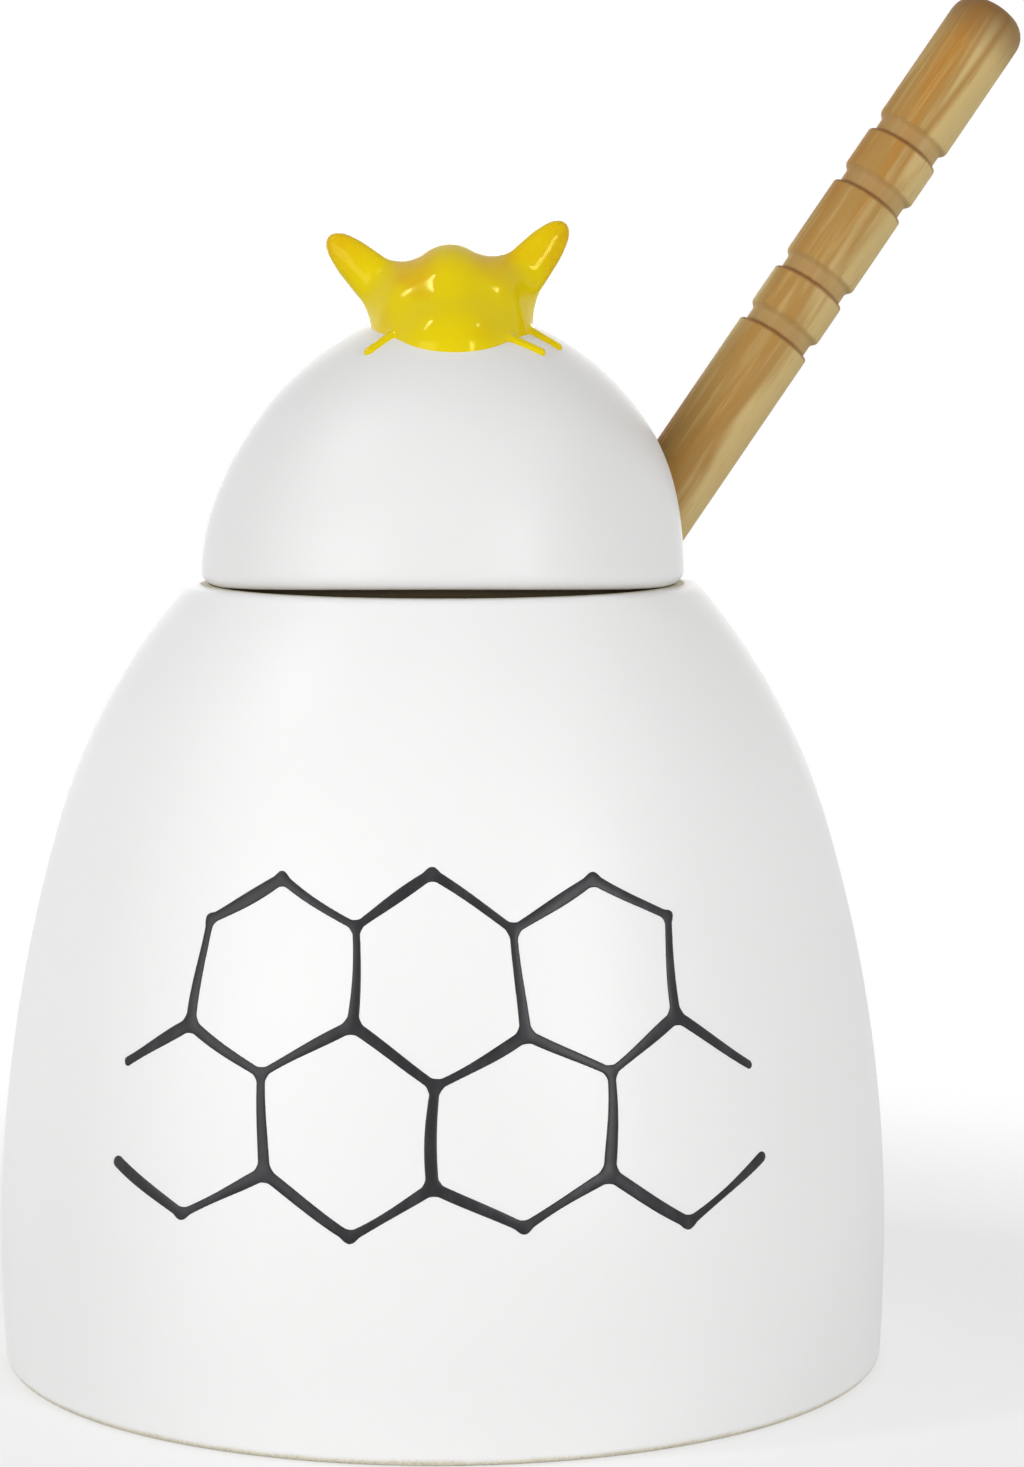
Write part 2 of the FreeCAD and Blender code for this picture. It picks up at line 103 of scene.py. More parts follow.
def colour(name, description, default):
    """A linear colour."""
    return FloatVectorProperty(
        name=name, description=description, default=default, min=0, max=1, subtype="COLOR"
    )


def power(name, description, default):
    """A lamp's power in watts."""
    return FloatProperty(name=name, description=description, default=default, min=0, unit="POWER")


def whole(name, description, default, least=1):
    """A whole number."""
    return IntProperty(name=name, description=description, default=default, min=least)


class PotSettings(bpy.types.PropertyGroup):
    """Sizes of the bell and colours of its glaze."""

    belly_height: length("Belly height", "Height at which the bell is widest", 14.8)
    base_inset: length("Base inset", "How far the foot is drawn in from the belly", 0.4)
    rim_diameter: length("Rim", "Diameter of the flat rim", 65.1)
    rim_width: length("Rim width", "Width of the flat rim", 3.8)
    mouth_land: length("Mouth land", "Height of the upright band inside the mouth", 2.0)
    shoulder_drop_share: share("Shoulder drop", "Share of the draw-in that lies below the shoulder", 0.332)
    shoulder_rise_share: share("Shoulder rise", "Share of the height that lies below the shoulder", 0.652)
    wall: length("Wall", "Thickness of the bell's wall", 3.4)
    floor: length("Floor", "Thickness of the floor", 4.6)
    inside_corner: length("Inside corner", "Round between the floor and the wall", 11.0)
    foot_ring: length("Foot ring", "Width of the ring that the pot stands on", 6.0)
    foot_recess: length("Foot recess", "Depth of the hollow inside the foot ring", 1.0)
    edge_round: length("Edge round", "Round of the rim and the foot", 0.8)
    unevenness: length("Unevenness", "How far the wall strays from a true round", 0.09)
    still_edge: length("Still edge", "Height over which that fades at the rim and the foot", 10.0)
    segments: whole("Segments", "Faces round the bell", 224, least=32)
    glaze: colour("Glaze", "White of the glaze", (0.92, 0.92, 0.915))
    thin_share: share("Thin glaze", "How bright the glaze stays in its thin patches", 0.96)
    clay: colour("Clay", "Bare stoneware at the rim and foot", (0.76, 0.71, 0.57))
    # Painted shade: near-black clay at the pot's mouth and on the lid's flange, where the gap under the lid
    # looks in.
    gap_shade_clay: colour("Stained clay", "Bare stoneware that honey has stained", (0.05, 0.034, 0.014))


class LineSettings(bpy.types.PropertyGroup):
    """The honeycomb brushed on the front of the pot."""

    cell_side: length("Cell side", "Length of a cell's side", 11.6)
    middle_height: length("Middle height", "Height of the middle of the comb", 48.0)
    line_width: length("Line width", "Width of a brush line", 1.25)
    line_rise: length("Line rise", "How far a line stands proud of the glaze", 0.1)
    width_share: share("Width change", "How much the brush line swells and thins", 0.2)
    stray: length("Stray", "How far the brush strays from the comb", 0.55)
    lower_cells: whole("Lower cells", "Cells in the comb's lower row", 4)
    cell: length("Cell", "Size of the mesh", 0.3125)
    paint: colour("Paint", "Black of the lines", (0.012, 0.012, 0.014))


class LidSettings(bpy.types.PropertyGroup):
    """Sizes of the domed lid."""

    overreach: length("Side overreach", "How far the side arc's centre lies past the axis", 3.65)
    crown_radius: length("Crown", "Radius of the top of the dome", 19.0)
    wall: length("Wall", "Thickness of the dome", 3.2)
    edge_round: length("Edge round", "Round of the dome's lower edge", 1.7)
    edge_height: length("Edge height", "Height at which the dome is widest", 1.3)
    seat_height: length("Seat height", "Height of the ledge inside the dome", 3.0)
    flange_depth: length("Flange depth", "How far the flange reaches into the mouth", 4.0)
    flange_wall: length("Flange wall", "Thickness of the flange", 2.4)
    flange_gap: length("Flange gap", "Play of the flange in the mouth", 0.8)
    warp_height: length("Warp", "How far the front of the seat stands off the rim", 1.0)
    warp_span: length("Warp span", "Width of that gap", 55.0)
    lean: length("Lean", "How far the fired dome leans to the right", 1.1)
    lean_start: length("Lean start", "Height above the rim where the lean begins", 2.0)
    lean_rise: length("Lean rise", "Height over which the lean grows", 20.0)
    notch_room: length("Notch room", "Room round the dipper's handle in the notch", 2.4)
    notch_round: length("Notch round", "Round of the notch's edge", 0.9)
    cell: length("Cell", "Size of the mesh", 0.55)
    # Painted shade: a darker copy of the pot's white glaze, standing in for the weaker light from above on
    # the dome.
    glaze: colour("Glaze", "White glaze of the lid, a little greyer than the pot's", (0.83, 0.83, 0.825))


class BeeSettings(bpy.types.PropertyGroup):
    """Sizes and colours of the bee."""

    offset: length("Offset", "How far the bee sits to the right of the axis", 1.45)
    sink: length("Sink", "How far its middle lies under the dome's top", 5.05)
    roll: angle("Roll", "How far it leans over", 3.16)
    body_blend: length("Body blend", "Round between the swellings of the body", 4.0)
    wing_blend: length("Wing blend", "Round between the wings and the body", 3.3)
    leg_blend: length("Leg blend", "Round between the legs and the body", 0.5)
    wing_length: length("Wing length", "From root to tip", 15.75)
    wing_width: length("Wing width", "Width of a wing at its root", 8.6)
    wing_waist_share: share("Wing waist", "How far a wing is drawn in halfway along", 0.186)
    wing_rise: angle("Wing rise", "How steeply the wings stand", 46.0)
    wing_sweep: angle("Wing sweep", "How far the wings lean back", 10.0)
    wing_flat_share: share("Wing flatness", "Thickness of a wing as a share of its width", 0.6)
    leg_radius: length("Leg radius", "Half the width of a leg", 0.8)
    leg_end_share: share("Leg end", "Width of a leg's end as a share of its start", 0.8)
    seat_depth: length("Seat depth", "How far the bee is let into the dome", 0.9)
    cell: length("Cell", "Size of the mesh", 0.34)
    yellow: colour("Yellow", "Yellow glaze", (0.76, 0.59, 0.002))
    pooled: colour("Pooled", "Glaze where it lies thick", (0.72, 0.43, 0.002))


class DipperSettings(bpy.types.PropertyGroup):
    """Sizes of the turned dipper and colours of its wood."""

    end_dome: length("End dome", "Height of the domed end", 1.7)
    end_round: length("End round", "Round of the handle's end", 1.9)
    groove_width: length("Groove width", "Width of a groove", 2.7)
    groove_depth: length("Groove depth", "Depth of a groove", 0.65)
    groove_slope: length("Groove slope", "Length of a groove's sloped shoulder", 0.7)
    upper_band: length("Upper band", "From the end to the first groove of the upper pair", 20.1)
    lower_band: length("Lower band", "From the end to the first groove of the lower pair", 42.0)
    band_pitch: length("Band pitch", "Step between the grooves of a pair", 8.2)
    tenon_radius: length("Tenon radius", "Half the tenon's diameter", 4.0)
    tenon_length: length("Tenon length", "How far the tenon reaches into the head", 18.0)
    neck_step: length("Neck step", "How far the head stands out past the handle", 1.2)
    core_radius: length("Core radius", "Radius of the head between its discs", 6.25)
    slot_width: length("Slot width", "Gap between two discs", 2.6)
    slot_pitch: length("Slot pitch", "Step from slot to slot", 5.4)
    slot_start: length("Slot start", "From the tip to the first slot", 4.6)
    slots: whole("Slots", "Slots in the head", 6)
    edge_round: length("Edge round", "Round of the turned edges", 0.3)
    segments: whole("Segments", "Faces round the dowel", 96, least=24)
    wood: colour("Wood", "Plain colour of the wood", (0.4, 0.226, 0.06))
    pale_wood: colour("Pale wood", "Paler streaks", (0.63, 0.485, 0.215))
    warm_wood: colour("Warm wood", "Orange-brown streaks", (0.43, 0.19, 0.026))
    cut_wood: colour("Cut wood", "Wood in the grooves", (0.42, 0.265, 0.105))
    end_wood: colour("End wood", "Darker wood at the handle's end", (0.195, 0.098, 0.032))
    # Painted shade: a dark line at each groove's lower shoulder, where shade falls in the groove's corner.
    groove_shade: colour("Burn", "Burnished line at a groove's shoulder", (0.19, 0.07, 0.02))


class StageSettings(bpy.types.PropertyGroup):
    """Camera, floor and light."""

    camera_place: FloatVectorProperty(
        name="Camera",
        description="Place of the camera",
        default=(0.00884, -0.5039, 0.1324),
        subtype="TRANSLATION",
    )
    camera_pitch: angle("Pitch", "How far the camera looks down", 5.93)
    lens: FloatProperty(name="Lens", description="Focal length", default=96.74, unit="CAMERA")
    floor_radius: length("Floor", "Radius of the floor", 1600)
    floor_white_share: share("Floor white", "How much of its own white the floor shows beside the pot", 0.6)
    shadow_start: length("Shadow start", "From here out, the floor fades to white", 85)
    shadow_end: length("Shadow end", "From here out, the floor is white", 200)
    ambient: share("Ambient", "Strength of the light from all sides", 0.65)
    overhead_drop: share("Overhead drop", "How much weaker that light is from straight above", 0.9)
    key: power("Key", "Power of the large lamp in front on the left", 5.6)
    fill: power("Fill", "Power of the upright strip in front on the right", 4.9)
    window: power("Window", "Power of the strip above on the left", 1.4)
    skylight: power("Skylight", "Power of the small lamp above on the right", 0.3)
    back: power("Back", "Power of the lamp behind", 4.0)


class Wire:
    """An output socket that Python expressions turn into Math nodes of its material."""

    def __init__(self, finish, socket):
        self.finish = finish
        self.socket = socket

    def math(self, operation, *values):
        return self.finish.add("Math", dict(enumerate(values)), operation=operation)

    def __add__(self, other):
        return self.math("ADD", self, other)

    __radd__ = __add__

    def __sub__(self, other):
        return self.math("SUBTRACT", self, other)

    def __rsub__(self, other):
        return self.math("SUBTRACT", other, self)

    def __mul__(self, other):
        return self.math("MULTIPLY", self, other)

    __rmul__ = __mul__

    def __abs__(self):
        return self.math("ABSOLUTE", self)

    def step(self, low, high):
        """0 below low, 1 above high, and smooth between; high may be the smaller."""
        ranges = {"From Min": low, "From Max": high, "Value": self}
        return self.finish.add("MapRange", ranges, interpolation_type="SMOOTHSTEP")

    def sway(self, reach):
        """Noise from 0 to 1, spread evenly to both sides of zero over a reach."""
        return (self - 0.5) * reach


class Finish:
    """A node tree that is filled node by node: a material's, or the world's."""

    def __init__(self, owner):
        owner.use_nodes = True
        self.owner = owner
        self.tree = owner.node_tree
        self.tree.nodes.clear()

    def add(self, kind, sockets=None, output=0, **settings):
        """Add a shader node, apply its settings, set or link its sockets, and give one of its outputs."""
        node = self.tree.nodes.new("ShaderNode" + kind)
        for name, value in settings.items():
            setattr(node, name, value)
        for key, value in (sockets or {}).items():
            socket = self.find(node.inputs, key)
            if isinstance(value, Wire):
                self.tree.links.new(value.socket, socket)
            else:
                socket.default_value = value
        if not node.outputs:
            return None
        return Wire(self, self.find(node.outputs, output))

    @staticmethod
    def find(sockets, key):
        """A socket by its number, its identifier or its name."""
        if isinstance(key, int):
            return sockets[key]
        return next(socket for socket in sockets if key in (socket.identifier, socket.name))

    def mix(self, first, second, factor):
        """A colour between two, which may be wires or plain colours."""
        first, second = [value if isinstance(value, Wire) else (*value, 1) for value in (first, second)]
        sockets = {"Factor_Float": factor, "A_Color": first, "B_Color": second}
        return self.add("Mix", sockets, "Result_Color", data_type="RGBA")

    def place(self, scale=(1, 1, 1)):
        """The point on the piece in its own axes, stretched."""
        point = self.add("TexCoord", output="Object")
        return self.add("VectorMath", {0: point, 1: scale}, operation="MULTIPLY")

    def along(self, axis):
        """One coordinate of the point on the piece."""
        point = self.add("TexCoord", output="Object")
        return self.add("SeparateXYZ", {"Vector": point}, axis)

    def reach(self):
        """The distance of the point on the piece from its upright axis."""
        level = self.place((1, 1, 0))
        return self.add("VectorMath", {0: level}, "Value", operation="LENGTH")

    def seen(self):
        """1 where the camera, a reflection or a clear piece sees it, and 0 where it only gives light."""
        rays = ("Camera", "Glossy", "Transmission")
        camera, glossy, clear = [self.add("LightPath", output=f"Is {ray} Ray") for ray in rays]
        return camera.math("MAXIMUM", camera.math("MAXIMUM", camera, glossy), clear)

    def noise(self, size, scale=(1, 1, 1), detail=3.0, roughness=0.5, distortion=0.0):
        """Cloudy noise from 0 to 1 whose patches have about the given size."""
        sockets = {
            "Vector": self.place(scale),
            "Scale": 1 / size,
            "Detail": detail,
            "Roughness": roughness,
            "Distortion": distortion,
        }
        return self.add("TexNoise", sockets)

    def bump(self, height, distance, strength=1.0):
        sockets = {"Height": height, "Distance": distance, "Strength": strength}
        return self.add("Bump", sockets)

    def surface(self, sockets):
        """End the material in one principled shader."""
        shader = self.add("BsdfPrincipled", sockets)
        self.add("OutputMaterial", {"Surface": shader})
        return self.owner


def new_finish(name):
    return Finish(bpy.data.materials.new(name))


def white_glaze(name, settings, glaze, bare_of):
    """Satin white glaze, thinner in cloudy patches, that leaves the clay bare and paints shade onto it where
    bare_of says.
    """
    finish = new_finish(name)
    cloud = finish.noise(size=26 * MM, detail=1.0)
    ripple = finish.noise(size=4.5 * MM, detail=1.5)
    grain = finish.noise(size=0.45 * MM, detail=4.0)
    edge_waver = 0.5 * MM
    bare, gap_shade = bare_of(finish, ripple.sway(edge_waver))
    thin = [settings.thin_share * part for part in glaze]
    white = finish.mix(glaze, thin, cloud)
    speck_share = 0.8
    specks = [speck_share * part for part in settings.clay]
    clay = finish.mix(settings.clay, specks, grain.step(low=0.4, high=0.7))
    # Painted shade: the clay goes near black where the gap under the lid looks in.
    clay = finish.mix(clay, settings.gap_shade_clay, gap_shade)
    glaze_grain, clay_grain = 0.05, 0.5
    relief = ripple + grain * (glaze_grain + bare * clay_grain)
    satin, cloud_dulling, clay_dulling = 0.4, 0.08, 0.4
    return finish.surface({
        "Base Color": finish.mix(white, clay, bare),
        "Roughness": satin + cloud * cloud_dulling + bare * clay_dulling,
        "Specular IOR Level": 0.4,
        "Normal": finish.bump(relief, distance=0.04 * MM, strength=0.3),
    })


def line_glaze(settings):
    """Black painted line, a little streaky, under a thin gloss."""
    finish = new_finish("black_line_glaze")
    streak = finish.noise(size=1.6 * MM, scale=(1, 1, 0.35), detail=4.0)
    wear = 2.5
    worn = [wear * part for part in settings.paint]
    gloss, streak_dulling = 0.3, 0.2
    return finish.surface({
        "Base Color": finish.mix(settings.paint, worn, streak.step(low=0.4, high=0.8)),
        "Roughness": gloss + streak * streak_dulling,
        "Specular IOR Level": 0.3,
        "Normal": finish.bump(streak, distance=0.03 * MM, strength=0.4),
    })


def yellow_glaze(settings, top):
    """Gloss yellow glaze that runs orange in the hollows and at the wing tips."""
    finish = new_finish("yellow_bee_glaze")
    cloud = finish.noise(size=6 * MM, detail=2.0)
    ripple = finish.noise(size=2.4 * MM, detail=1.5)
    run = 7 * MM
    height = finish.along("Z") + cloud.sway(run)
    out = abs(finish.along("X") - settings.offset)
    tips = out.step(low=9 * MM, high=15 * MM)
    high = height.step(low=top - 10 * MM, high=top - 2 * MM)
    saddle_place = 5 * MM
    saddle = abs(out - saddle_place).step(low=4 * MM, high=1 * MM)
    saddle = saddle * height.step(low=top - 11 * MM, high=top - 6 * MM)
    pooled = 0.0
    for amount, weight in (
        (high, 0.25),
        (high * tips, 0.5),
        (saddle, 0.6),
        (cloud.step(low=0.5, high=0.75), 0.3),
    ):
        pooled = amount * weight + pooled
    gloss, cloud_dulling = 0.08, 0.05
    return finish.surface({
        "Base Color": finish.mix(settings.yellow, settings.pooled, pooled),
        "Roughness": gloss + cloud * cloud_dulling,
        "Specular IOR Level": 0.2,
        "Specular Tint": (1.0, 0.95, 0.3, 1.0),
        "Normal": finish.bump(ripple, distance=0.12 * MM, strength=0.25),
    })


def turned_wood(settings, grooves, end):
    """Light wood with long grain and pores, pale cut grooves, a dark line of painted shade at each groove's
    lower shoulder, and a paler side painted where light thrown back from the pot and the floor would fall.
    """
    finish = new_finish("turned_wood")
    broad = finish.noise(size=6 * MM, scale=(1, 1, 0.15), detail=2.0, distortion=0.6)
    grain = finish.noise(size=0.9 * MM, scale=(1, 1, 0.05), detail=5.0, roughness=0.6)
    pores = finish.noise(size=0.28 * MM, scale=(1, 1, 0.05), detail=2.0)
    rings = finish.noise(size=0.5 * MM, scale=(0.02, 0.02, 1), detail=2.0)
    bounce_lit_wander, groove_waver = 9 * MM, 0.25 * MM
    # Painted light: the side of the dipper that faces outwards and down, towards the pot and the floor, is
    # made paler as though lit by light thrown back from them.
    bounce_lit_side = (finish.along("X") + broad.sway(bounce_lit_wander)).step(low=0.2 * MM, high=2.4 * MM)
    along = finish.along("Z") + grain.sway(groove_waver)
    floor_share, least_groove_shade = 0.7, 0.75
    cut, groove_shade_line = 0.0, 0.0
    for low, high in grooves:
        half = (high - low) / 2
        cut = abs(along - (low + half)).step(low=half, high=floor_share * half) + cut
        # Painted shade along each groove's lower shoulder.
        groove_shade_line = abs(along - low).step(low=0.55 * MM, high=0.12 * MM) + groove_shade_line
    shade = settings.wood
    for tint, amount, weight in (
        (settings.pale_wood, broad.step(low=0.5, high=0.34), 0.85),
        (settings.warm_wood, broad.step(low=0.5, high=0.66), 0.85),
        (settings.pale_wood, bounce_lit_side, 0.85),
        (settings.pale_wood, grain.step(low=0.5, high=0.7), 0.35),
        (settings.warm_wood, pores.step(low=0.6, high=0.74), 0.5),
        (settings.cut_wood, cut, 0.6),
        (settings.groove_shade, groove_shade_line * (least_groove_shade + broad), 0.6),
        (settings.end_wood, along.step(low=end - 9 * MM, high=end - 1 * MM), 0.85),
    ):
        shade = finish.mix(shade, tint, amount * weight)
    grain_relief, pore_relief, ring_relief = 0.5, 0.4, 0.35
    relief = grain * grain_relief + pores * pore_relief + rings * ring_relief
    smoothed, grain_dulling = 0.5, 0.2
    return finish.surface({
        "Base Color": shade,
        "Roughness": smoothed + grain * grain_dulling,
        "Specular IOR Level": 0.2,
        "Normal": finish.bump(relief, distance=0.06 * MM, strength=0.5),
    })


def new_object(name, data):
    """Put new data into the scene."""
    item = bpy.data.objects.new(name, data)
    bpy.context.scene.collection.objects.link(item)
    return item


def new_piece(name, mesh, material, body, replaced, place=None):
    """Link a smooth mesh as a piece that rides on a body."""
    mesh.materials.append(material)
    for polygon in mesh.polygons:
        polygon.use_smooth = True
    piece = new_object(name, mesh)
    if place is not None:
        piece.matrix_world = place
    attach(piece, body)
    if replaced:
        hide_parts(*replaced)


def arc(start, end, radius, count):
    """Points after start on the short arc to end whose centre lies on the left of the way."""
    start, end = Vector(start), Vector(end)
    way = end - start
    across = Vector((-way.y, way.x)).normalized()
    centre = start + way / 2 + across * math.sqrt(max(radius**2 - (way.length / 2) ** 2, 0))
    first = start - centre
    turn = first.angle_signed(end - centre)
    return [centre + Matrix.Rotation(-turn * step / count, 2) @ first for step in range(1, count + 1)]


def soften(points, corners, steps=6):
    """Replace each corner of a line by a curve that leaves it a given reach before and after the corner."""
    points = [Vector(point) for point in points]
    for corner, reach in corners:
        corner = Vector(corner)
        index = min(range(len(points)), key=lambda number: (points[number] - corner).length)
        before = walk(points[index::-1], reach)
        after = walk(points[index:], reach)
        curve = []
        for step in range(steps + 1):
            t = step / steps
            curve.append((1 - t) ** 2 * before[0] + 2 * t * (1 - t) * corner + t**2 * after[0])
        points = before[1][::-1] + curve + after[1]
    return points


def walk(points, reach):
    """The point at a distance along a line, and the points of the line past it."""
    for number in range(1, len(points)):
        step = points[number] - points[number - 1]
        if step.length > reach:
            return points[number - 1] + step.normalized() * reach, points[number:]
        reach -= step.length
    raise ValueError("the line is shorter than the reach")


def lathe(name, profile, segments, stray=None):
    """Turn a line of (radius, height) about the upright axis. stray moves the finished points."""
    mesh = bmesh.new()
    rings = []
    for radius, height in profile:
        count = segments if radius > TINY else 1
        ring = []
        for number in range(count):
            turn = math.tau * number / segments
            ring.append(mesh.verts.new((radius * math.cos(turn), radius * math.sin(turn), height)))
        rings.append(ring)
    for lower, upper in zip(rings, rings[1:]):
        for number in range(segments):
            after = number + 1
            corners = [lower[number % len(lower)], lower[after % len(lower)]]
            corners += [upper[after % len(upper)], upper[number % len(upper)]]
            mesh.faces.new(list(dict.fromkeys(corners)))
    if stray:
        for vertex in mesh.verts:
            vertex.co = stray(vertex.co)
    data = bpy.data.meshes.new(name)
    mesh.to_mesh(data)
    mesh.free()
    return data


def rounded_both(first, second, radius):
    """Field of what lies in both solids, with the edge between them rounded."""
    corner = np.hypot(np.maximum(first + radius, 0), np.maximum(second + radius, 0))
    return np.minimum(-radius, np.maximum(first, second)) + corner


def blended(fields, radius):
    """Field of what lies in any of several solids, with fillets between them."""
    return reduce(lambda first, second: -rounded_both(-first, -second, radius), fields)


def egg(points, centre, radii):
    """Field of an ellipsoid."""
    from_centre = points - np.array(centre)
    near = np.linalg.norm(from_centre / np.array(radii), axis=1)
    slope = np.linalg.norm(from_centre / np.array(radii) ** 2, axis=1)
    return near * (near - 1) / np.maximum(slope, TINY)


def tapered(points, start, end, start_radius, end_radius):
    """Field of a rod with round ends whose radius changes evenly."""
    way = np.array(end) - np.array(start)
    from_start = points - np.array(start)
    t = np.clip(from_start @ way / (way @ way), 0, 1)
    nearest = np.linalg.norm(from_start - t[:, None] * way, axis=1)
    return nearest - start_radius - t * (end_radius - start_radius)


def skin(name, field, low, high, cell, bend=None):
    """Mesh the surface where a field is zero: a point in each cell that it crosses, drawn onto the surface.

    bend carries the finished points from the field's own space to where they belong.
    """
    low = np.array(low)
    counts = np.ceil((np.array(high) - low) / cell).astype(int) + 1
    axes = [low[axis] + cell * np.arange(counts[axis]) for axis in range(3)]
    grid = np.stack(np.meshgrid(*axes, indexing="ij"), axis=-1).reshape(-1, 3)
    inside = (field(grid) < 0).reshape(counts)
    fill_diagonals(inside)
    filled = np.zeros(counts - 1, int)
    for corner in np.ndindex(2, 2, 2):
        filled += inside[tuple(slice(edge, count - 1 + edge) for edge, count in zip(corner, counts))]
    crossed = (filled > 0) & (filled < 8)
    numbers = np.full(counts - 1, -1)
    numbers[crossed] = np.arange(crossed.sum())
    points = low + (np.argwhere(crossed) + 0.5) * cell
    faces = []
    for axis in range(3):
        across, up = (axis + 1) % 3, (axis + 2) % 3
        lower = np.take(inside, range(counts[axis] - 1), axis)
        upper = np.take(inside, range(1, counts[axis]), axis)
        edges = np.argwhere(lower != upper)
        corners = []
        for side, rise in ((0, 0), (-1, 0), (-1, -1), (0, -1)):
            beside = edges.copy()
            beside[:, across] += side
            beside[:, up] += rise
            corners.append(numbers[tuple(beside.T)])
        quads = np.stack(corners, axis=1)
        inward = upper[tuple(edges.T)]
        quads[inward] = quads[inward][:, ::-1]
        faces.append(quads)
    faces = np.concatenate(faces)
    points = settle(points, faces, field, cell)
    if bend:
        points = bend(points)
    mesh = bpy.data.meshes.new(name)
    mesh.from_pydata(points.tolist(), [], faces.tolist())
    mesh.update()
    return mesh


def fill_diagonals(inside):
    """Fill the grid's squares whose inside corners touch only across a diagonal.

    A skin would cross itself there.
    """
    found = True
    while found:
        found = False
        for axes in ((0, 1), (1, 2), (2, 0)):
            corners = []
            for steps in ((0, 0), (1, 0), (1, 1), (0, 1)):
                cut = [slice(None)] * 3
                for axis, step in zip(axes, steps):
                    cut[axis] = slice(step, inside.shape[axis] - 1 + step)
                corners.append(inside[tuple(cut)])
            near, right, far, left = corners
            crossed = (near == far) & (right == left) & (near != right)
            for corner in corners:
                corner |= crossed
            found = found or crossed.any()


def settle(points, faces, field, cell, rounds=5, pulls=2):
    """Draw points onto the field's surface, evening out their spacing."""
    starts = faces.ravel()
    ends = np.roll(faces, -1, axis=1).ravel()
    joined = np.bincount(starts, minlength=len(points))[:, None]
    nudge_share, least_slope = 0.05, 0.1
    nudge = cell * nudge_share
    steps = np.eye(3) * nudge
    for turn in range(rounds):
        if turn:
            sums = [np.bincount(starts, points[ends, axis], len(points)) for axis in range(3)]
            points = (points + np.stack(sums, axis=1) / joined) / 2
        for _ in range(pulls):
            value = field(points)
            slope = np.stack([field(points + step) - field(points - step) for step in steps], axis=1)
            slope /= 2 * nudge
            pull = value / np.maximum((slope**2).sum(axis=1), least_slope)
            points = points - np.clip(pull, -cell, cell)[:, None] * slope
    return points


# Waves of the wall: how often round the pot, where each starts, its turn per metre up, and its strength.
WALL_WAVES = ((2, 0.6, 30, 1.0), (5, -1.1, -75, 0.6))


class PotForm:
    """The bell's outline and the surface that its brush lines follow."""

    def __init__(self, settings):
        self.settings = settings
        self.radius = (POT_HIGH.x - POT_LOW.x) / 2
        self.height = POT_HIGH.z
        self.rim = settings.rim_diameter / 2
        self.mouth = self.rim - settings.rim_width

    def side(self, belly, top, height):
        """A bell's side from its belly to its top: two arcs that meet at the shoulder without a corner."""
        settings = self.settings
        inward = settings.shoulder_drop_share * (belly - top)
        upward = settings.shoulder_rise_share * (height - settings.belly_height)
        rest_in = belly - top - inward
        rest_up = height - settings.belly_height - upward
        lower = (inward**2 + upward**2) / (2 * inward)
        upper = (rest_in**2 + rest_up**2) * lower / (2 * ((lower - inward) * rest_in - upward * rest_up))
        belly_point = Vector((belly, settings.belly_height))
        shoulder = Vector((belly - inward, settings.belly_height + upward))
        below = arc(belly_point, shoulder, lower, count=40)
        above = arc(shoulder, (top, height), upper, count=32)
        return [belly_point, *below, *above]

    def outer(self):
        return self.side(self.radius, self.rim, self.height)

    def profile(self):
        """The whole section, from the middle of the underside to the middle of the floor."""
        settings = self.settings
        base = self.radius - settings.base_inset
        ring = base - settings.foot_ring
        inside = self.radius - settings.wall
        foot_arc = (settings.base_inset**2 + settings.belly_height**2) / (2 * settings.base_inset)
        land = self.height - settings.mouth_land
        underside = [(0, settings.foot_recess), (ring, settings.foot_recess), (ring, 0), (base, 0)]
        foot = arc((base, 0), (self.radius, settings.belly_height), foot_arc, count=12)[:-1]
        mouth = [(self.mouth, self.height)]
        hollow = self.side(inside, self.mouth, land)[::-1]
        floor = [(inside, settings.floor), (0, settings.floor)]
        edge = settings.edge_round
        slight, ample = edge / 2, edge * 1.5
        corners = [
            ((ring, settings.foot_recess), slight),
            ((ring, 0), slight),
            ((base, 0), ample),
            ((self.rim, self.height), edge),
            ((self.mouth, self.height), slight),
            ((self.mouth, land), edge),
            ((inside, settings.floor), settings.inside_corner),
        ]
        return soften([*underside, *foot, *self.outer(), *mouth, *hollow, *floor], corners)

    def stray(self, point):
        """A point of the wall, moved a little off the true round."""
        turn = math.atan2(point.y, point.x)
        wave = 0.0
        for times, start, climb, strength in WALL_WAVES:
            wave += strength * math.sin(times * turn + start + climb * point.z)
        out = Vector((math.cos(turn), math.sin(turn), 0)) * (wave * self.settings.unevenness)
        fade = min(point.z, self.height - point.z) / self.settings.still_edge
        return point + out * max(0, min(fade, 1))

    def wrap(self, points, rise_share):
        """Carry flat points (along the front, height, off the surface) onto the front of the bell."""
        line = np.array([tuple(point) for point in self.outer()])
        reach = self.radius - self.settings.wall
        nudge = 0.5 * MM
        wrapped = []
        for across, height, off in points:
            radius = np.interp(height, line[:, 1], line[:, 0])
            lean = (np.interp(height + nudge, line[:, 1], line[:, 0]) - radius) / nudge
            turn = across / reach - math.pi / 2
            normal = Vector((math.cos(turn), math.sin(turn), -lean)).normalized()
            surface = self.stray(Vector((radius * math.cos(turn), radius * math.sin(turn), height)))
            wrapped.append(surface + normal * off * rise_share)
        return np.array(wrapped)


